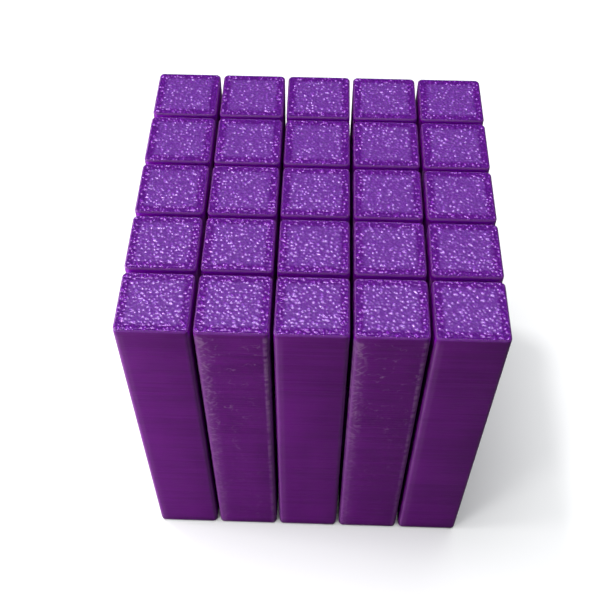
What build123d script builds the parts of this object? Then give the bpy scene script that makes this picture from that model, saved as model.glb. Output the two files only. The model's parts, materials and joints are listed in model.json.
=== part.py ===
"""Sliding-column puzzle cube: 25 square columns standing in a five by five block.

Two kinds of column alternate like the squares of a chessboard. A keyed column has a dovetail key
on each side that faces a neighbour, and a slotted column has a matching slot that is closed at
both ends. A key slides up and down its slot, so neighbours can shift lengthways but can't part.

Frame: the origin is at the centre of the base, +Z runs up along the columns, +X runs along a row
and +Y runs from the front row to the back row. The block is printed upside down, with the column
tops on the print bed, so every surface that faces +Z inside it has to be short or sloped.

All sizes are in millimetres.
"""

from build123d import *
import os

# The block
COLUMNS_PER_SIDE = 5
ROW_LETTERS = "abcde"  # from the front row to the back row
PITCH = 10.0  # centre to centre of two neighbouring columns
GAP = 0.5  # open space between the faces of two neighbours
HEIGHT = 55.0

# One column
WIDTH = PITCH - GAP
EDGE_RADIUS = 0.7  # on the four upright edges
BASE_EDGE_RADIUS = 0.65  # round the lower end
TOP_CHAMFER = 0.2  # round the upper end, which stays crisp

# How far a column can slide past its neighbour, each way from level
TRAVEL = 8.0
END_PLAY = 0.15  # left between a key and the end of its slot at full travel

# Dovetail slot, cut into a slotted column
SLOT_DEPTH = 2.1
SLOT_MOUTH_WIDTH = 2.5
SLOT_FLOOR_WIDTH = 3.9

# Dovetail key, standing on a keyed column
KEY_LENGTH = 15.0
KEY_SIDE_CLEARANCE = 0.25  # between a key's flank and its slot's flank, across the key
KEY_TIP_CLEARANCE = 0.3  # between a key's tip and the floor of its slot
KEY_ROOT = 1.0  # how far a key is sunk into its own column, so that the two are one solid

HALF_COLUMN = WIDTH / 2
KEY_BOTTOM = (HEIGHT - KEY_LENGTH) / 2
KEY_TOP = KEY_BOTTOM + KEY_LENGTH
KEY_REACH = GAP + SLOT_DEPTH - KEY_TIP_CLEARANCE
SLOT_BOTTOM = KEY_BOTTOM - TRAVEL - END_PLAY
SLOT_TOP = KEY_TOP + TRAVEL + END_PLAY
FLANK_SLOPE = (SLOT_FLOOR_WIDTH - SLOT_MOUTH_WIDTH) / 2 / SLOT_DEPTH
CUT_MARGIN = 0.2  # how far a cut starts outside the face that it enters


def slot_half_width(reach):
    """Half the slot's width at a distance from the keyed column's face."""
    return SLOT_MOUTH_WIDTH / 2 + (reach - GAP) * FLANK_SLOPE


def dovetail(start, end, side_clearance, bottom, top):
    """A dovetail bar that leaves a face along +X, from start to end, with its top end at 45 degrees.

    start and end are distances from the keyed column's face, at X = 0. The slope falls away from
    that face, and top is its height there, so a key and a slot made with it are parallel.
    """
    start_half = slot_half_width(start) - side_clearance
    end_half = slot_half_width(end) - side_clearance
    plan = Polygon((start, -start_half), (end, -end_half), (end, end_half), (start, start_half))
    side = Polygon((start, bottom), (end, bottom), (end, top - end), (start, top - start))
    bar = extrude(plan, HEIGHT)
    profile = extrude(Plane.XZ * side, SLOT_FLOOR_WIDTH, both=True)
    return bar & profile


def key():
    """A key on the +X side of a keyed column that stands at the origin."""
    bar = dovetail(-KEY_ROOT, KEY_REACH, KEY_SIDE_CLEARANCE, KEY_BOTTOM, KEY_TOP)
    return Pos(HALF_COLUMN, 0, 0) * bar


def slot():
    """The space of a slot in the +X side of a slotted column that stands at the origin."""
    bar = dovetail(GAP - CUT_MARGIN, GAP + SLOT_DEPTH, 0, SLOT_BOTTOM, SLOT_TOP)
    return Rot(0, 0, 180) * Pos(-HALF_COLUMN - GAP, 0, 0) * bar


def blank():
    """A plain column that stands at the origin."""
    column = extrude(RectangleRounded(WIDTH, WIDTH, EDGE_RADIUS), HEIGHT)
    column = fillet(column.faces().sort_by(Axis.Z)[0].edges(), BASE_EDGE_RADIUS)
    return chamfer(column.faces().sort_by(Axis.Z)[-1].edges(), TOP_CHAMFER)


def sides_with_neighbours(across, back):
    """The turns about Z, in degrees, that bring the +X side to each side that has a neighbour."""
    last = COLUMNS_PER_SIDE - 1
    turns = []
    if across < last:
        turns.append(0)
    if back < last:
        turns.append(90)
    if across > 0:
        turns.append(180)
    if back > 0:
        turns.append(270)
    return turns


def column(across, back):
    """The column at a place in the block, counted from the front left corner, and its kind."""
    is_keyed = (across + back) % 2 == 0
    body = blank()
    for turn in sides_with_neighbours(across, back):
        if is_keyed:
            body += Rot(0, 0, turn) * key()
        else:
            body -= Rot(0, 0, turn) * slot()
    middle = (COLUMNS_PER_SIDE - 1) / 2
    place = Pos((across - middle) * PITCH, (back - middle) * PITCH, 0)
    return place * body, "keyed" if is_keyed else "slotted"


os.makedirs("parts", exist_ok=True)
for back, row_letter in enumerate(ROW_LETTERS):
    for across in range(COLUMNS_PER_SIDE):
        body, kind = column(across, back)
        export_step(body, f"parts/{kind}_column_{row_letter}{across + 1}.step")
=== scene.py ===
"""Looks of the sliding-column puzzle cube: 25 square columns of purple printed plastic.

Every CAD column is replaced by a finer mesh of the same size. A mesh is worked out in
millimetres, in the column's own frame with its origin at the centre of its base, and then set
down at its place in the block. The sides carry the printed layers as real ridges, and the top
carries the grains that the textured print bed left on it.
"""

import json
import math

import bpy
import numpy as np
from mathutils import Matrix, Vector


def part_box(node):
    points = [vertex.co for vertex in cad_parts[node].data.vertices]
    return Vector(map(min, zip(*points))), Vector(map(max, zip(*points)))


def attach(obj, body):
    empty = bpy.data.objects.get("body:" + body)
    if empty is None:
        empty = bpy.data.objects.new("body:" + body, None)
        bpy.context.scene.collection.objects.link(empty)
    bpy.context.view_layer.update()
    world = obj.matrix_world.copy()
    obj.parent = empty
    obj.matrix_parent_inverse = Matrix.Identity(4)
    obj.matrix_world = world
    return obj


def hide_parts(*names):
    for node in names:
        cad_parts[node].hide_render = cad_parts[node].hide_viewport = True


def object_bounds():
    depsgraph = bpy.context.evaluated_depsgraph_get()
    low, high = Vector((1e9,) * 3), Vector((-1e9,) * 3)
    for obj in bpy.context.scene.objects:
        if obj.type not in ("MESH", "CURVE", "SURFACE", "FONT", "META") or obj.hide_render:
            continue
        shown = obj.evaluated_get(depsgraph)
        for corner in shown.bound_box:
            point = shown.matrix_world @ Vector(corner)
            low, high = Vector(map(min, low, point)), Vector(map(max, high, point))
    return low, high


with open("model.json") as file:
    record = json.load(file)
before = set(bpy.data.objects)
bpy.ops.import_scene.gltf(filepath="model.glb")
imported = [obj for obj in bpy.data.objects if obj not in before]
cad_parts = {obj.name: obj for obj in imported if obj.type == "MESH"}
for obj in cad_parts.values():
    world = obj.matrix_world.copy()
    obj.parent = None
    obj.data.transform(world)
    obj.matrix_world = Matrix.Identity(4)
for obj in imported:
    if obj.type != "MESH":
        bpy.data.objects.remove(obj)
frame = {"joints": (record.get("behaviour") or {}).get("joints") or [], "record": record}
cad_low, cad_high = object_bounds()

MM = 0.001  # one millimetre, in Blender's metres
SEED = 7

# Sizes read from the frame, in millimetres
slotted_low, slotted_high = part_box("slotted_column_a2")
keyed_low, keyed_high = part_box("keyed_column_c3")
WIDTH = (slotted_high.x - slotted_low.x) / MM
HEIGHT = (cad_high.z - cad_low.z) / MM
BLOCK_WIDTH = (cad_high.x - cad_low.x) / MM
COLUMNS_PER_SIDE = 5
ROW_LETTERS = "abcde"  # from the front row to the back row
MIDDLE_COLUMN = (COLUMNS_PER_SIDE - 1) // 2
PITCH = (BLOCK_WIDTH - WIDTH) / (COLUMNS_PER_SIDE - 1)
GAP = PITCH - WIDTH
TRAVEL = frame["joints"][0]["range_m"][1] / MM
KEY_REACH = ((keyed_high.x - keyed_low.x) / MM - WIDTH) / 2

# The rest of the shape, which follows the CAD columns
EDGE_RADIUS = 0.7
BASE_EDGE_RADIUS = 0.65
TOP_CHAMFER = 0.2
KEY_LENGTH = 15.0
KEY_BOTTOM = (HEIGHT - KEY_LENGTH) / 2
KEY_TOP = KEY_BOTTOM + KEY_LENGTH
END_PLAY = 0.15
SLOT_DEPTH = 2.1
SLOT_MOUTH_HALF = 1.25
FLANK_SLOPE = 1 / 3
KEY_SIDE_CLEARANCE = 0.25
KEY_ROOT_HALF = SLOT_MOUTH_HALF - GAP * FLANK_SLOPE - KEY_SIDE_CLEARANCE
SLOT_BOTTOM = KEY_BOTTOM - TRAVEL - END_PLAY
SLOT_MOUTH_TOP = KEY_TOP + TRAVEL + END_PLAY - GAP

# The printed surface
LAYER = 0.2  # height of one printed layer
GROOVE_DEPTH = 0.022  # between two layers
LAYER_SHIFT = 0.006  # how far a layer may sit in from its neighbours
LINE_WIDTH = 0.49  # of one extruded line, seen on the ends
WALL_LINES = 2  # lines round the edge of an end face, before the filling starts
WALL_ZONE = 1.3  # how wide the lines round the edge look on the top
WALL_FADE = 0.6  # how wide the change from wall lines to filling is

# The grains on the top
GRAIN_SPACING = 0.46  # from one grain to the next
GRAIN_JITTER = 0.38  # how far a grain may lie off its even place, as a share of the spacing
GRAIN_VARIETY = 1.6  # shape of the gamma distribution of heights: larger is more even
GRAIN_LENGTH = 0.125  # standard deviation of a grain's mound, along the filling lines
GRAIN_WIDTH = 0.105  # and across them
GRAIN_HEIGHT = 0.075
GRAIN_LIMIT = 0.15  # no grain stands higher than this
WALL_GRAIN = 1.05  # share of the grain height over the wall lines
FILLING_GRAIN = 0.80  # and over the filling
WALL_GROOVE = 0.012  # depth between two wall lines
WALL_GROOVE_SHARPNESS = 16  # even power of a cosine: larger is narrower
FILLING_GROOVE = 0.006  # depth between two filling lines
RIM_FADE = 0.2  # how wide the strip is in which the grains die away towards the chamfer

# How finely a column is divided
ARC_STEPS = 2  # segments in half of a rounded corner
ACROSS_STEPS = 6  # segments across a key or a slot: one a flank, four along the tip or floor
ROWS_PER_LAYER = 2
TOP_CELLS = 128  # grid cells across the top face
BASE_CELLS = 64  # grid cells across the base
SIDE, TOP, BASE = 0, 1, 2  # material slots of a column

# ---------------------------------------------------------------- column cross-sections


def edge_inset(z):
    """How far the cross-section at height z is drawn in by the rounded base and the top chamfer."""
    if z < BASE_EDGE_RADIUS:
        rise = BASE_EDGE_RADIUS - z
        return BASE_EDGE_RADIUS - math.sqrt(max(BASE_EDGE_RADIUS**2 - rise**2, 0.0))
    return max(0.0, TOP_CHAMFER - (HEIGHT - z))


def link_path(kind, z):
    """The stretch across a key or a slot at height z, as (outward, along) points from the face."""
    if kind == "keyed":
        reach = min(KEY_REACH, KEY_TOP - z)
        root_half = KEY_ROOT_HALF
    else:
        reach = -min(SLOT_DEPTH, SLOT_MOUTH_TOP - z)
        root_half = SLOT_MOUTH_HALF
    tip_half = root_half + abs(reach) * FLANK_SLOPE
    tip = [(reach, along) for along in np.linspace(-tip_half, tip_half, ACROSS_STEPS - 1)]
    return [(0.0, -root_half)] + tip + [(0.0, root_half)]


def flat_path(kind):
    """The same stretch where there is no key or slot."""
    half = KEY_ROOT_HALF if kind == "keyed" else SLOT_MOUTH_HALF
    return [(0.0, along) for along in np.linspace(-half, half, ACROSS_STEPS + 1)]


def side_points(kind, z, linked):
    """One side of the cross-section, as (outward, along) points from corner middle to corner middle.

    The last point is left out, because it is the first one of the next side.
    """
    inset = edge_inset(z)
    face = WIDTH / 2 - inset
    flat_half = WIDTH / 2 - EDGE_RADIUS
    radius = EDGE_RADIUS - inset
    angles = np.linspace(-math.pi / 4, 0, ARC_STEPS + 1)
    arc = [(flat_half + radius * math.cos(a), -flat_half + radius * math.sin(a)) for a in angles]
    path = link_path(kind, z) if linked else flat_path(kind)
    across = [(face + outward, along) for outward, along in path]
    far_arc = [(outward, -along) for outward, along in reversed(arc)]
    return (arc + across + far_arc)[:-1]


def cross_section(kind, z, linked_sides):
    """The closed loop of the cross-section at height z, anticlockwise from above."""
    points = []
    for side in range(4):
        turn = side * math.pi / 2
        cos, sin = math.cos(turn), math.sin(turn)
        for outward, along in side_points(kind, z, side in linked_sides):
            points.append((outward * cos - along * sin, outward * sin + along * cos))
    return np.array(points)


def outward_normals(loop):
    """The unit normal of a closed loop at each of its points."""
    along = np.roll(loop, -1, 0) - np.roll(loop, 1, 0)
    normals = np.stack([along[:, 1], -along[:, 0]], 1)
    return normals / np.maximum(np.linalg.norm(normals, axis=1), 1e-9)[:, None]


def row_heights(kind):
    """Heights of the rows of points, each with whether the keys or slots are open there."""
    steps = round(ROWS_PER_LAYER * HEIGHT / LAYER)
    plain = [HEIGHT - step * LAYER / ROWS_PER_LAYER for step in range(steps + 1)]
    plain += [HEIGHT - TOP_CHAMFER / 4]
    bottom = KEY_BOTTOM if kind == "keyed" else SLOT_BOTTOM
    top = KEY_TOP if kind == "keyed" else SLOT_MOUTH_TOP
    clear = 0.01
    rows = [(z, bottom + clear < z < top - clear) for z in plain if abs(z - bottom) > clear]
    rows += [(bottom, False), (bottom, True)]
    return sorted(rows)


def layer_groove(z):
    """How deep the surface lies at height z: deepest between two layers, zero in a layer's middle."""
    phase = (HEIGHT - z) / LAYER
    return GROOVE_DEPTH * abs(1 - 2 * (phase % 1.0))


def side_loops(kind, linked_sides, rows, rng):
    """The points of the four sides, as one closed loop a row, with the layers as ridges."""
    shift = -np.abs(rng.normal(0, LAYER_SHIFT, round(HEIGHT / LAYER) + 2))
    loops = []
    for z, linked in rows:
        loop = cross_section(kind, z, linked_sides if linked else ())
        layer = int((HEIGHT - z) / LAYER)
        loop = loop + outward_normals(loop) * (shift[layer] - layer_groove(z))
        loops.append(np.column_stack([loop, np.full(len(loop), z)]))
    return loops


# ---------------------------------------------------------------- end faces


def rounded_grid(cells, half, radius):
    """A square grid of points, with its corner squares bent into a rounded square's corners."""
    line = np.linspace(-half, half, cells + 1)
    x, y = np.meshgrid(line, line, indexing="ij")
    flat_half = half - radius
    a = np.clip((np.abs(x) - flat_half) / radius, 0, 1)
    b = np.clip((np.abs(y) - flat_half) / radius, 0, 1)
    corner = (a > 0) & (b > 0)
    bent_x = np.sign(x) * (flat_half + radius * a * np.sqrt(1 - b * b / 2))
    bent_y = np.sign(y) * (flat_half + radius * b * np.sqrt(1 - a * a / 2))
    return np.where(corner, bent_x, x), np.where(corner, bent_y, y)


def grid_ring(cells):
    """Places of a grid's border points in its flattened array, anticlockwise from +X, -Y."""
    index = np.arange((cells + 1) ** 2).reshape(cells + 1, cells + 1)
    return np.concatenate([index[-1, :-1], index[:0:-1, -1], index[0, :0:-1], index[:-1, 0]])


def grid_quads(cells, start):
    """The quads of a grid whose points start at a given place, facing up."""
    index = start + np.arange((cells + 1) ** 2).reshape(cells + 1, cells + 1)
    corners = [index[:-1, :-1], index[1:, :-1], index[1:, 1:], index[:-1, 1:]]
    return np.stack([c.ravel() for c in corners], 1)


def turns(points):
    """How far round each point of a loop is, from 0 at the +X, -Y corner to 1."""
    angle = np.arctan2(points[:, 1], points[:, 0]) + math.pi / 4
    return np.mod(angle / (2 * math.pi) + 1e-6, 1.0)


def zipper(low, high, low_turns, high_turns):
    """Triangles between two closed loops, given how far round each of their points is."""
    low_ring, high_ring = list(low) + [low[0]], list(high) + [high[0]]
    low_at, high_at = list(low_turns) + [low_turns[0] + 1], list(high_turns) + [high_turns[0] + 1]
    faces = []
    i = j = 0
    while i < len(low) or j < len(high):
        take_low = j == len(high) or (i < len(low) and low_at[i + 1] <= high_at[j + 1])
        if take_low:
            faces.append((low_ring[i], low_ring[i + 1], high_ring[j]))
            i += 1
        else:
            faces.append((low_ring[i], high_ring[j + 1], high_ring[j]))
            j += 1
    return np.array(faces)


def end_strip(loop_places, loop, face, cells, start):
    """Triangles between the sides' last loop and the border of an end face's grid."""
    ring = grid_ring(cells)
    return zipper(loop_places, start + ring, turns(loop), turns(face[ring]))


def scattered_heights(size, spacing, rng):
    """A square field that wraps round, with one spike for each grain, as tall as the grain.

    size is the number of points along it and spacing the distance between two points.
    """
    count = int(size * spacing / GRAIN_SPACING)
    column, row = np.meshgrid(np.arange(count), np.arange(count), indexing="ij")
    off_u = rng.uniform(-GRAIN_JITTER, GRAIN_JITTER, column.shape)
    off_v = rng.uniform(-GRAIN_JITTER, GRAIN_JITTER, column.shape)
    u = ((column + 0.5 * (row % 2) + off_u) * size / count).ravel() % size
    v = ((row + off_v) * size / count).ravel() % size
    height = rng.gamma(GRAIN_VARIETY, 1 / GRAIN_VARIETY, u.size)
    field = np.zeros((size, size))
    for du, dv in ((0, 0), (1, 0), (0, 1), (1, 1)):
        share = np.abs(1 - du - u % 1) * np.abs(1 - dv - v % 1)
        np.add.at(field, ((u.astype(int) + du) % size, (v.astype(int) + dv) % size), height * share)
    return field


def grains(x, y, inward, rng):
    """The grainy height that the bed's texture leaves on a top face, in millimetres.

    Each grain is a small mound, longer along the slanting filling lines. Grains are taller over
    the wall lines. x, y and inward, the distance in from the edge, are grids.
    """
    cells = x.shape[0] - 1
    spacing = x[cells // 2 + 1, 0] - x[cells // 2, 0]
    size = 2 * cells
    field = scattered_heights(size, spacing, rng)
    frequency = np.fft.fftfreq(size, spacing)
    fx, fy = np.meshgrid(frequency, frequency, indexing="ij")
    along, across = (fx - fy) / math.sqrt(2), (fx + fy) / math.sqrt(2)
    reach = (along * GRAIN_LENGTH) ** 2 + (across * GRAIN_WIDTH) ** 2
    mound = 2 * math.pi * GRAIN_LENGTH * GRAIN_WIDTH / spacing**2
    field = np.fft.ifft2(np.fft.fft2(field) * np.exp(-2 * math.pi**2 * reach)).real * mound
    field = field[: cells + 1, : cells + 1] * GRAIN_HEIGHT
    over_walls = 1 - np.clip((inward - WALL_ZONE + WALL_FADE / 2) / WALL_FADE, 0, 1)
    field = (field - field.mean()) * (FILLING_GRAIN + (WALL_GRAIN - FILLING_GRAIN) * over_walls)
    groove = over_walls * np.cos(math.pi * inward / LINE_WIDTH) ** WALL_GROOVE_SHARPNESS
    slant = (1 - over_walls) * np.cos(math.pi * (x + y) / math.sqrt(2) / LINE_WIDTH) ** 2
    field = GRAIN_LIMIT * np.tanh(field / GRAIN_LIMIT)
    return field - groove * WALL_GROOVE - slant * FILLING_GROOVE


def top_face(rng):
    """The points of the top face, and how far each stands above its flat plane."""
    half = WIDTH / 2 - TOP_CHAMFER
    x, y = rounded_grid(TOP_CELLS, half, EDGE_RADIUS - TOP_CHAMFER)
    rim = half - np.maximum(np.abs(x), np.abs(y))
    grain = grains(x, y, rim + TOP_CHAMFER, rng) * np.clip(rim / RIM_FADE, 0, 1)
    return np.column_stack([x.ravel(), y.ravel(), (HEIGHT + grain).ravel()]), grain.ravel()


def base_face():
    """The points of the flat base."""
    half = WIDTH / 2 - BASE_EDGE_RADIUS
    x, y = rounded_grid(BASE_CELLS, half, EDGE_RADIUS - BASE_EDGE_RADIUS)
    return np.column_stack([x.ravel(), y.ravel(), np.zeros(x.size)])


# ---------------------------------------------------------------- one column


def build_column(name, kind, centre, linked_sides, rng):
    """The mesh object of one column, at its place in the block."""
    rows = row_heights(kind)
    loops = side_loops(kind, linked_sides, rows, rng)
    per_row = len(loops[0])
    index = np.arange(len(rows) * per_row).reshape(len(rows), per_row)
    after = np.roll(index, -1, 1)
    side_quads = np.stack([index[:-1], after[:-1], after[1:], index[1:]], -1).reshape(-1, 4)

    top, grain = top_face(rng)
    top_start = index.size
    top_quads = grid_quads(TOP_CELLS, top_start)
    top_strip = end_strip(index[-1], loops[-1], top, TOP_CELLS, top_start)

    base = base_face()
    base_start = top_start + len(top)
    base_quads = grid_quads(BASE_CELLS, base_start)[:, ::-1]
    base_strip = end_strip(index[0], loops[0], base, BASE_CELLS, base_start)[:, ::-1]

    points = np.concatenate(loops + [top, base])
    vertices = (points + np.array([centre[0], centre[1], 0.0])) * MM
    quads = np.concatenate([side_quads, top_quads, base_quads])
    triangles = np.concatenate([top_strip, base_strip])
    counts = [len(part) for part in (side_quads, top_quads, base_quads, top_strip, base_strip)]
    material = np.repeat([SIDE, TOP, BASE, SIDE, BASE], counts)
    mesh = mesh_from_arrays(name, vertices, quads, triangles, material)
    mark_sharp(mesh, per_row, rows, linked_sides)
    values = np.zeros(len(vertices), np.float32)
    values[top_start:base_start] = grain / GRAIN_HEIGHT
    mesh.attributes.new("grain", "FLOAT", "POINT").data.foreach_set("value", values)
    column = bpy.data.objects.new(name, mesh)
    bpy.context.scene.collection.objects.link(column)
    return column


def mesh_from_arrays(name, vertices, quads, triangles, material):
    """A smooth-shaded mesh from arrays of points, quads and triangles."""
    mesh = bpy.data.meshes.new(name)
    mesh.vertices.add(len(vertices))
    mesh.vertices.foreach_set("co", vertices.astype(np.float32).ravel())
    corners = np.concatenate([quads.ravel(), triangles.ravel()])
    sizes = np.concatenate([np.full(len(quads), 4), np.full(len(triangles), 3)])
    starts = np.concatenate([[0], np.cumsum(sizes)[:-1]])
    mesh.loops.add(len(corners))
    mesh.loops.foreach_set("vertex_index", corners.astype(np.int32))
    mesh.polygons.add(len(sizes))
    mesh.polygons.foreach_set("loop_start", starts.astype(np.int32))
    mesh.polygons.foreach_set("material_index", material.astype(np.int32))
    mesh.update(calc_edges=True)
    mesh.validate()
    mesh.shade_smooth()
    return mesh


def mark_sharp(mesh, per_row, rows, linked_sides):
    """Marks as sharp the crease along every layer and the long edges of the keys or slots."""
    edges = np.empty(len(mesh.edges) * 2, np.int32)
    mesh.edges.foreach_get("vertices", edges)
    edges = edges.reshape(-1, 2)
    on_side = (edges < len(rows) * per_row).all(1)
    row, place = edges // per_row, edges % per_row
    level = on_side & (row[:, 0] == row[:, 1])
    rim = (edges < len(rows) * per_row).any(1) & ~on_side
    linked = np.array([linked for _, linked in rows])
    side_length = per_row // 4
    first = ARC_STEPS + 1
    creases = [first, first + 1, first + ACROSS_STEPS - 1, first + ACROSS_STEPS]
    crease_places = [side * side_length + crease for side in linked_sides for crease in creases]
    upright = on_side & (row[:, 0] != row[:, 1])
    low_row = np.minimum(row.min(1), len(rows) - 1)
    upright &= linked[low_row] & np.isin(place[:, 0], crease_places)
    attribute = mesh.attributes.get("sharp_edge")
    attribute = attribute or mesh.attributes.new("sharp_edge", "BOOLEAN", "EDGE")
    attribute.data.foreach_set("value", level | upright | rim)


# ---------------------------------------------------------------- nodes


class Nodes:
    """Short ways to add nodes to one material. All lengths are in millimetres."""

    def __init__(self, name):
        self.material = bpy.data.materials.new(name)
        self.material.use_nodes = True
        self.tree = self.material.node_tree
        self.shader = self.tree.nodes["Principled BSDF"]

    def add(self, kind, **settings):
        node = self.tree.nodes.new(kind)
        for key, value in settings.items():
            setattr(node, key, value)
        return node

    def feed(self, socket, value):
        """Gives a socket a fixed value, or links it to another node's output."""
        if isinstance(value, bpy.types.NodeSocket):
            self.tree.links.new(value, socket)
        else:
            socket.default_value = value

    def set(self, name, value):
        self.feed(self.shader.inputs[name], value)

    def math(self, operation, a, b=0.0):
        node = self.add("ShaderNodeMath", operation=operation)
        self.feed(node.inputs[0], a)
        self.feed(node.inputs[1], b)
        return node.outputs[0]

    def total(self, first, *others):
        for value in others:
            first = self.math("ADD", first, value)
        return first

    def product(self, first, *others):
        for value in others:
            first = self.math("MULTIPLY", first, value)
        return first

    def between(self, share, low, high):
        """low where share is 0 and high where it is 1."""
        return self.total(self.product(share, high - low), low)

    def step(self, value, start, end):
        """0 at start, 1 at end and smooth between, whichever of the two is larger."""
        node = self.add("ShaderNodeMapRange", interpolation_type="SMOOTHSTEP")
        for socket, given in zip(node.inputs, (value, start, end, 0.0, 1.0)):
            self.feed(socket, given)
        return node.outputs[0]

    def mix(self, share, a, b):
        """Colour a where share is 0 and b where it is 1."""
        node = self.add("ShaderNodeMix", data_type="RGBA")
        self.feed(node.inputs[0], share)
        self.feed(node.inputs[6], a)
        self.feed(node.inputs[7], b)
        return node.outputs[2]

    def noise(self, vector, scale, detail=2.0):
        node = self.add("ShaderNodeTexNoise")
        self.feed(node.inputs["Vector"], vector)
        self.feed(node.inputs["Scale"], scale)
        self.feed(node.inputs["Detail"], detail)
        return node.outputs["Fac"]

    def combine(self, x, y, z):
        node = self.add("ShaderNodeCombineXYZ")
        for socket, value in zip(node.inputs, (x, y, z)):
            self.feed(socket, value)
        return node.outputs[0]

    def glow_through(self, depth, weight=1.0):
        """Lets light travel a little way through the plastic."""
        self.set("Subsurface Weight", weight)
        self.set("Subsurface Radius", THROUGH_COLOUR)
        self.set("Subsurface Scale", depth * MM)

    def place(self):
        """The point in the block's frame: (vector, x, y, z)."""
        coordinates = self.add("ShaderNodeTexCoord").outputs["Object"]
        scaled = self.add("ShaderNodeVectorMath", operation="SCALE")
        self.feed(scaled.inputs[0], coordinates)
        self.feed(scaled.inputs["Scale"], 1 / MM)
        split = self.add("ShaderNodeSeparateXYZ")
        self.feed(split.inputs[0], scaled.outputs[0])
        return (scaled.outputs[0],) + tuple(split.outputs)

    def local(self, coordinate):
        """A coordinate counted from the middle of the column it falls in."""
        pitches = self.total(self.math("DIVIDE", coordinate, PITCH), 0.5 + COLUMNS_PER_SIDE)
        return self.product(self.math("SUBTRACT", self.math("FRACT", pitches), 0.5), PITCH)

    def stretch(self, x, y, z, level, upright):
        """A point whose level coordinates are scaled by one factor and its height by another."""
        return self.combine(self.product(x, level), self.product(y, level), self.product(z, upright))

    def slanted(self, run, z, way):
        """A point for noise that lies in strokes at 45 degrees, rising with way 1 or falling with -1."""
        along = self.total(run, self.product(z, way))
        across = self.math("SUBTRACT", run, self.product(z, way))
        return self.combine(self.product(along, STROKE_SQUEEZE), across, STROKE_APART * way)

    def attribute(self, name):
        return self.add("ShaderNodeAttribute", attribute_name=name).outputs["Fac"]

    def bump(self, height, distance, strength):
        node = self.add("ShaderNodeBump")
        self.feed(node.inputs["Height"], height)
        self.feed(node.inputs["Distance"], distance * MM)
        self.feed(node.inputs["Strength"], strength)
        self.set("Normal", node.outputs[0])


# ---------------------------------------------------------------- materials

# Colours of the top. The second colour of each pair is a painted glint on the taller grains. The
# filling's colours are paler than the wall lines', partly in their own look and partly as painted sheen.
WALL_DARK = (0.078, 0.002, 0.180, 1)
WALL_PAINTED_GLINT = (0.165, 0.012, 0.330, 1)
FILLING_DARK = (0.125, 0.022, 0.260, 1)
FILLING_PAINTED_GLINT = (0.235, 0.072, 0.440, 1)
TOP_SHEEN = (0.80, 0.56, 0.96, 1)
WALL_SHEEN = (0.72, 0.38, 0.90, 1)

# Colours of the sides and the base
SIDE_DARK = (0.120, 0.003, 0.176, 1)
SIDE_LIGHT = (0.156, 0.006, 0.226, 1)
PAINTED_RIM_LIGHT = (0.135, 0.024, 0.215, 1)  # the narrow rim round the top, painted paler: partly the top's wall-line colour, partly a painted highlight where the chamfer faces the light
PAINTED_GAP_GLOW = (0.270, 0.001, 0.470, 1)  # painted glow on the sides in the gaps, just under the top, as if lit through the plastic
SHADED = (0.020, 0.001, 0.030, 1)
# the pale colour of the scuffs, also used for the painted highlights on the upright edges
SCUFF_AND_HIGHLIGHT = (0.345, 0.185, 0.375, 1)
BASE_DARK = (0.075, 0.008, 0.110, 1)
BASE_LIGHT = (0.110, 0.014, 0.170, 1)
THROUGH_COLOUR = (1.0, 0.25, 1.2)  # red and blue light travel further than green

# Shine of the surfaces, and how deep light goes into them
TOP_ROUGHNESS = 0.245
TOP_SHINE = 0.9
TOP_GLOW_DEPTH = 0.35
SIDE_ROUGHNESS = 0.36
SIDE_SHINE = 0.3
SIDE_GLOW_DEPTH = 0.9
BASE_ROUGHNESS = 0.38
FINE_BUMP = 0.02
BASE_BUMP = 0.05

# Each pair from here on gives where an effect is nil and where it is full.
# The top: distances in from the edge, and the mixed height and noise
FILLING_EDGE = (WALL_ZONE - 0.35, WALL_ZONE + 0.3)
BORDER_WANDER = 0.6  # how far the border between wall lines and filling wanders
# the mixed heights over which the taller grains are painted lighter, as a painted glint
PAINTED_GLINT_LEVELS = (0.55, 1.7)

# The sides: heights, distances out from the block's middle, and noise
PAINTED_GLOW_HEIGHTS = (HEIGHT - 2.0, HEIGHT - 0.6)
# heights of the rim round the top that is painted paler, partly as a painted highlight
PAINTED_RIM_HEIGHTS = (HEIGHT - 0.35, HEIGHT - 0.15)
SHADE_HEIGHTS = (2.4, 0.4)
LOW_SHADE = 0.45  # how far the sides darken just above the floor
# the scuffs and the painted edge highlights fade out just under the top
WEAR_AND_HIGHLIGHT_HEIGHTS = (HEIGHT - 0.5, HEIGHT - 1.3)
IN_GAP = (BLOCK_WIDTH / 2 - 0.1, BLOCK_WIDTH / 2 - 0.5)
STREAK_TONE = (0.35, 0.65)

# Painted highlights on the upright edges, in the scuffed colour: shares of that colour, and distances in
# from the left or right edge. The left edge gets the most, as if lit from the left.
EDGE_HIGHLIGHT_PAINT = 0.24
SHOULDER_HIGHLIGHT_PAINT = 0.4 * EDGE_HIGHLIGHT_PAINT
RIGHT_HIGHLIGHT_PAINT = 0.25 * EDGE_HIGHLIGHT_PAINT
LEFT_EDGE = (0.5, 0.2)
LEFT_SHOULDER = (1.35, 0.95)
RIGHT_EDGE = (0.8, 0.4)
LIGHT_PASSES = (0.20, 0.03)  # light goes into the plastic only where the scuffs and painted edge highlights are faint

# Scuffs: the same, and noise
BAND_WEAR = 0.42
LINE_WEAR = 0.52
SCRATCH_WEAR = 0.50
BAND_INNER = (2.3, 1.0)
BAND_OUTER = (0.2, 0.6)
LINE_INNER = (0.95, 0.7)
LINE_OUTER = (0.15, 0.4)
STROKE_NOISE = (0.55, 0.63)
STROKE_SQUEEZE = 0.3  # a stroke's width as a share of its length
STROKE_APART = 5.0  # keeps the rising and the falling strokes' noise apart
BROKEN_NOISE = (0.36, 0.62)
SCRATCH_PLACES = (0.55, 0.63)
SCRATCH_NOISE = (0.012, 0.003)
SCUFF_HEIGHTS = (12.0, 48.0)


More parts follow.
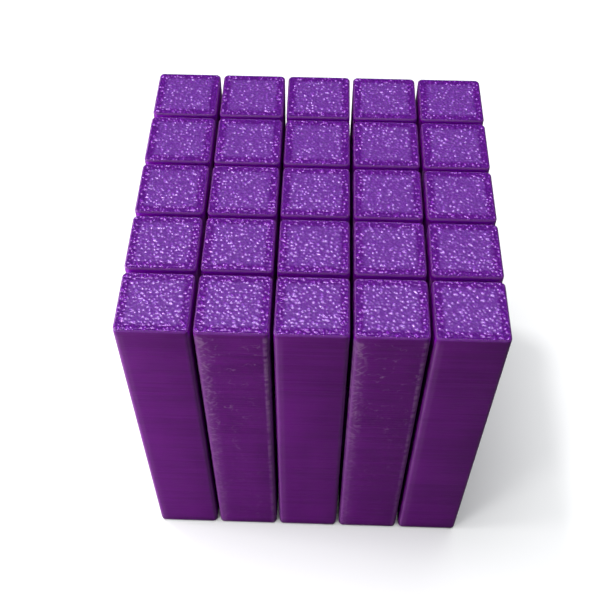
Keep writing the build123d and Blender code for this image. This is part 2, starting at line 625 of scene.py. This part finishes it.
def edge_distance(n, x, y):
    """Distance in from the nearest side face, on an end face."""
    from_x_face = n.math("SUBTRACT", WIDTH / 2, n.math("ABSOLUTE", n.local(x)))
    from_y_face = n.math("SUBTRACT", WIDTH / 2, n.math("ABSOLUTE", n.local(y)))
    return n.math("MINIMUM", from_x_face, from_y_face)


def grainy_top():
    """The top face: saturated wall lines round a paler filling, all grainy. The filling's paleness is
    partly painted sheen, and the taller grains are painted lighter as painted glints.
    """
    n = Nodes("grainy_top")
    point, x, y, _ = n.place()
    wander = n.product(n.math("SUBTRACT", n.noise(point, scale=1.2), 0.5), BORDER_WANDER)
    filling = n.step(n.total(edge_distance(n, x, y), wander), *FILLING_EDGE)
    fine = n.noise(point, scale=6.0)
    pores = n.noise(point, scale=3.4, detail=1.0)
    height = n.total(n.product(n.attribute("grain"), 0.6), n.total(fine, pores))
    # painted glint: the taller grains are painted lighter; the paler filling colours are partly painted
    # sheen
    painted_glint = n.step(height, *PAINTED_GLINT_LEVELS)
    walls = n.mix(painted_glint, WALL_DARK, WALL_PAINTED_GLINT)
    filling_and_sheen = n.mix(painted_glint, FILLING_DARK, FILLING_PAINTED_GLINT)
    n.set("Base Color", n.mix(filling, walls, filling_and_sheen))
    n.set("Roughness", TOP_ROUGHNESS)
    n.set("Specular IOR Level", TOP_SHINE)
    n.set("Specular Tint", n.mix(filling, WALL_SHEEN, TOP_SHEEN))
    n.bump(fine, FINE_BUMP, strength=0.5)
    n.glow_through(TOP_GLOW_DEPTH)
    return n.material


def layered_side(name, scuffed):
    """The side faces: satin, in level layers, with painted highlights on the upright edges and scuffs
    where two rub.
    """
    n = Nodes(name)
    point, x, y, z = n.place()
    from_left, from_right = along_face(n, x, y)
    # painted highlight on the upright edges, to which the real scuffs are added
    wear_and_highlight = painted_edge_highlight(n, point, from_left, from_right)
    if scuffed:
        wear_and_highlight = n.total(wear_and_highlight, scuffs(n, point, x, y, z, from_left, from_right))
    wear_and_highlight = n.product(wear_and_highlight, n.step(z, *WEAR_AND_HIGHLIGHT_HEIGHTS))
    n.set("Base Color", n.mix(wear_and_highlight, side_colour(n, point, x, y, z), SCUFF_AND_HIGHLIGHT))
    n.set("Roughness", SIDE_ROUGHNESS)
    n.set("Specular IOR Level", SIDE_SHINE)
    n.glow_through(SIDE_GLOW_DEPTH, n.step(wear_and_highlight, *LIGHT_PASSES))
    return n.material


def side_colour(n, point, x, y, z):
    """Purple in faint level streaks, with a painted glow at the top of a gap, a paler rim round the top
    that is partly painted highlight, and painted shade near the floor.
    """
    streaks = n.noise(n.stretch(x, y, z, level=0.1, upright=1.6), scale=1.0, detail=3.0)
    cloud = n.noise(point, scale=0.12, detail=1.5)
    tone = n.product(n.total(streaks, cloud), 0.5)
    colour = n.mix(n.step(tone, *STREAK_TONE), SIDE_DARK, SIDE_LIGHT)
    outward = n.math("MAXIMUM", n.math("ABSOLUTE", x), n.math("ABSOLUTE", y))
    # painted glow: sides facing a gap are painted bright just under the top
    glow = n.product(n.step(outward, *IN_GAP), n.step(z, *PAINTED_GLOW_HEIGHTS))
    colour = n.mix(glow, colour, PAINTED_GAP_GLOW)
    # painted highlight: the rim round the top is painted paler, as if lit
    colour = n.mix(n.step(z, *PAINTED_RIM_HEIGHTS), colour, PAINTED_RIM_LIGHT)
    return n.mix(n.product(n.step(z, *SHADE_HEIGHTS), LOW_SHADE), colour, SHADED)


def along_face(n, x, y):
    """Distances from a side face's left and right edge, as seen from in front of that face."""
    across, back = n.local(x), n.local(y)
    on_x_face = n.math("GREATER_THAN", n.math("ABSOLUTE", across), n.math("ABSOLUTE", back))
    x_face = n.product(n.math("SIGN", across), back)
    y_face = n.product(n.math("SIGN", back), n.product(across, -1.0))
    along = n.total(y_face, n.product(on_x_face, n.math("SUBTRACT", x_face, y_face)))
    return n.total(along, WIDTH / 2), n.math("SUBTRACT", WIDTH / 2, along)


def painted_edge_highlight(n, point, from_left, from_right):
    """How strongly the upright edges carry a painted highlight: the left one with a soft shoulder, the
    right one less.
    """
    patchy = n.between(n.noise(point, scale=0.5, detail=3.0), 0.6, 1.4)
    left = n.product(n.step(from_left, *LEFT_EDGE), EDGE_HIGHLIGHT_PAINT)
    shoulder = n.product(n.step(from_left, *LEFT_SHOULDER), SHOULDER_HIGHLIGHT_PAINT)
    right = n.product(n.step(from_right, *RIGHT_EDGE), RIGHT_HIGHLIGHT_PAINT)
    return n.product(n.total(left, right, shoulder), patchy)


def scuffs(n, point, x, y, z, from_left, from_right):
    """How scuffed a slotted column's side is.

    Slanting strokes fill a band along the left edge, a thin broken line runs down near the right
    edge, and a few fine scratches lie between them. All are stronger higher up.
    """
    run = n.total(x, y)
    rising = n.noise(n.slanted(run, z, 1.0), scale=1.8, detail=1.0)
    falling = n.noise(n.slanted(run, z, -1.0), scale=1.65, detail=1.0)
    strokes = n.step(n.math("MAXIMUM", rising, falling), *STROKE_NOISE)
    strokes = n.between(strokes, 0.1, 1.0)
    band_place = n.product(n.step(from_left, *BAND_INNER), n.step(from_left, *BAND_OUTER))
    band = n.product(band_place, strokes, BAND_WEAR)
    uneven = n.noise(n.stretch(x, y, z, level=0.3, upright=0.8), scale=1.5, detail=3.0)
    line_place = n.product(n.step(from_right, *LINE_INNER), n.step(from_right, *LINE_OUTER))
    line = n.product(line_place, n.step(uneven, *BROKEN_NOISE), LINE_WEAR)
    ridge = n.math("ABSOLUTE", n.math("SUBTRACT", n.noise(point, scale=0.6), 0.5))
    here = n.step(n.noise(point, scale=0.7, detail=1.0), *SCRATCH_PLACES)
    scratch = n.product(n.step(ridge, *SCRATCH_NOISE), here, SCRATCH_WEAR)
    higher = n.between(n.step(z, *SCUFF_HEIGHTS), 0.4, 1.0)
    return n.product(n.total(band, line, scratch), higher)


def printed_base():
    """The base: the last printed layer, with wall lines round slanting filling lines."""
    n = Nodes("printed_base")
    point, x, y, _ = n.place()
    inward = edge_distance(n, x, y)
    wall_width = WALL_LINES * LINE_WIDTH
    filling = n.step(inward, wall_width - 0.05, wall_width + 0.05)
    slant = n.product(n.total(n.local(x), n.local(y)), 1 / math.sqrt(2))
    rings = n.product(n.math("SUBTRACT", 1.0, filling), inward)
    phase = n.product(n.total(n.product(filling, slant), rings), math.pi / LINE_WIDTH)
    n.set("Base Color", n.mix(n.noise(point, scale=2.0), BASE_DARK, BASE_LIGHT))
    n.set("Roughness", BASE_ROUGHNESS)
    n.bump(n.math("ABSOLUTE", n.math("COSINE", phase)), BASE_BUMP, strength=0.8)
    return n.material


# ---------------------------------------------------------------- the block


def place_in_block(node):
    """Column and row, counted from the middle of the block, from a node's name."""
    row_letter, number = node.split("_")[-1]
    return int(number) - 1 - MIDDLE_COLUMN, ROW_LETTERS.index(row_letter) - MIDDLE_COLUMN


def sides_with_neighbours(across, back):
    """Sides with a neighbour: 0 is +X, 1 is +Y, 2 is -X and 3 is -Y."""
    last = MIDDLE_COLUMN
    has_neighbour = {0: across < last, 1: back < last, 2: across > -last, 3: back > -last}
    return [side for side, has in has_neighbour.items() if has]


def build_block():
    """All 25 columns, each riding on its own body in place of its CAD node."""
    sides = {
        "keyed": layered_side("layered_side", scuffed=False),
        "slotted": layered_side("scuffed_side", scuffed=True),
    }
    top, base = grainy_top(), printed_base()
    rng = np.random.default_rng(SEED)
    for body, members in sorted(frame["record"]["behaviour"]["bodies"].items()):
        node = members[0]
        kind = node.split("_")[0]
        across, back = place_in_block(node)
        centre = (across * PITCH, back * PITCH)
        name = node.replace("_column", "")
        column = build_column(name, kind, centre, sides_with_neighbours(across, back), rng)
        for material in (sides[kind], top, base):
            column.data.materials.append(material)
        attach(column, body)
        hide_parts(node)


# ---------------------------------------------------------------- floor, light and camera

FLOOR_SIZE = 3.0  # metres, so that it fills the view
FLOOR_SEEN = (0.95, 0.95, 0.95, 1)
FLOOR_BOUNCE = (0.13, 0.13, 0.13, 1)  # what the floor gives back to the plastic
COOL_WHITE = (0.97, 0.985, 1.0)
WHITE = (1.0, 1.0, 1.0)
WORLD_LIGHT = 0.12
CAMERA_PLACE = (0.45, -91.9, 149.3)
CAMERA_ANGLES = (37.66, -0.15, 1.81)
CAMERA_LENS = 56.4


def build_floor():
    """A plain pale floor that fills the view."""
    bpy.ops.mesh.primitive_plane_add(size=FLOOR_SIZE)
    floor = bpy.context.object
    floor.name = "floor"
    n = Nodes("pale_floor")
    seen = n.add("ShaderNodeLightPath").outputs["Is Camera Ray"]
    n.set("Base Color", n.mix(seen, FLOOR_BOUNCE, FLOOR_SEEN))
    n.set("Roughness", 0.9)
    n.set("Specular IOR Level", 0.0)
    floor.data.materials.append(n.material)


def area_light(name, place, aim, size, power, colour=WHITE):
    """A square area light at a place, pointed at aim, in metres and watts."""
    data = bpy.data.lights.new(name, "AREA")
    data.shape = "SQUARE"
    data.size = size
    data.energy = power
    data.color = colour
    light = bpy.data.objects.new(name, data)
    bpy.context.scene.collection.objects.link(light)
    light.location = place
    light.rotation_euler = (Vector(aim) - Vector(place)).to_track_quat("-Z", "Y").to_euler()
    light.visible_camera = False


def build_lights():
    """Soft light from above, small lights for the sparkles and left edges, and a dim white world."""
    area_light("overhead", (-0.05, 0.0, 0.70), aim=(0, 0, 0.03), size=0.45, power=4.8, colour=COOL_WHITE)
    area_light("sparkle", (-0.22, 0.15, 0.70), aim=(0, 0, 0.05), size=0.06, power=1.35)
    area_light("near_left", (-0.10, -0.11, 0.045), aim=(0, -0.02, 0.03), size=0.04, power=0.095)
    area_light("edge", (-0.35, -0.03, 0.06), aim=(0, 0, 0.03), size=0.12, power=1.5)
    world = bpy.data.worlds.new("studio")
    world.use_nodes = True
    background = world.node_tree.nodes["Background"]
    background.inputs["Color"].default_value = (*WHITE, 1)
    background.inputs["Strength"].default_value = WORLD_LIGHT
    bpy.context.scene.world = world
    bpy.context.scene.view_settings.view_transform = "Standard"


def build_camera():
    """The camera, looking down on the front of the block."""
    data = bpy.data.cameras.new("camera")
    data.sensor_width = 36.0
    data.lens = CAMERA_LENS
    data.clip_start = 0.01
    camera = bpy.data.objects.new("camera", data)
    bpy.context.scene.collection.objects.link(camera)
    camera.location = Vector(CAMERA_PLACE) * MM
    camera.rotation_euler = [math.radians(angle) for angle in CAMERA_ANGLES]
    bpy.context.scene.camera = camera


build_block()
build_floor()
build_lights()
build_camera()
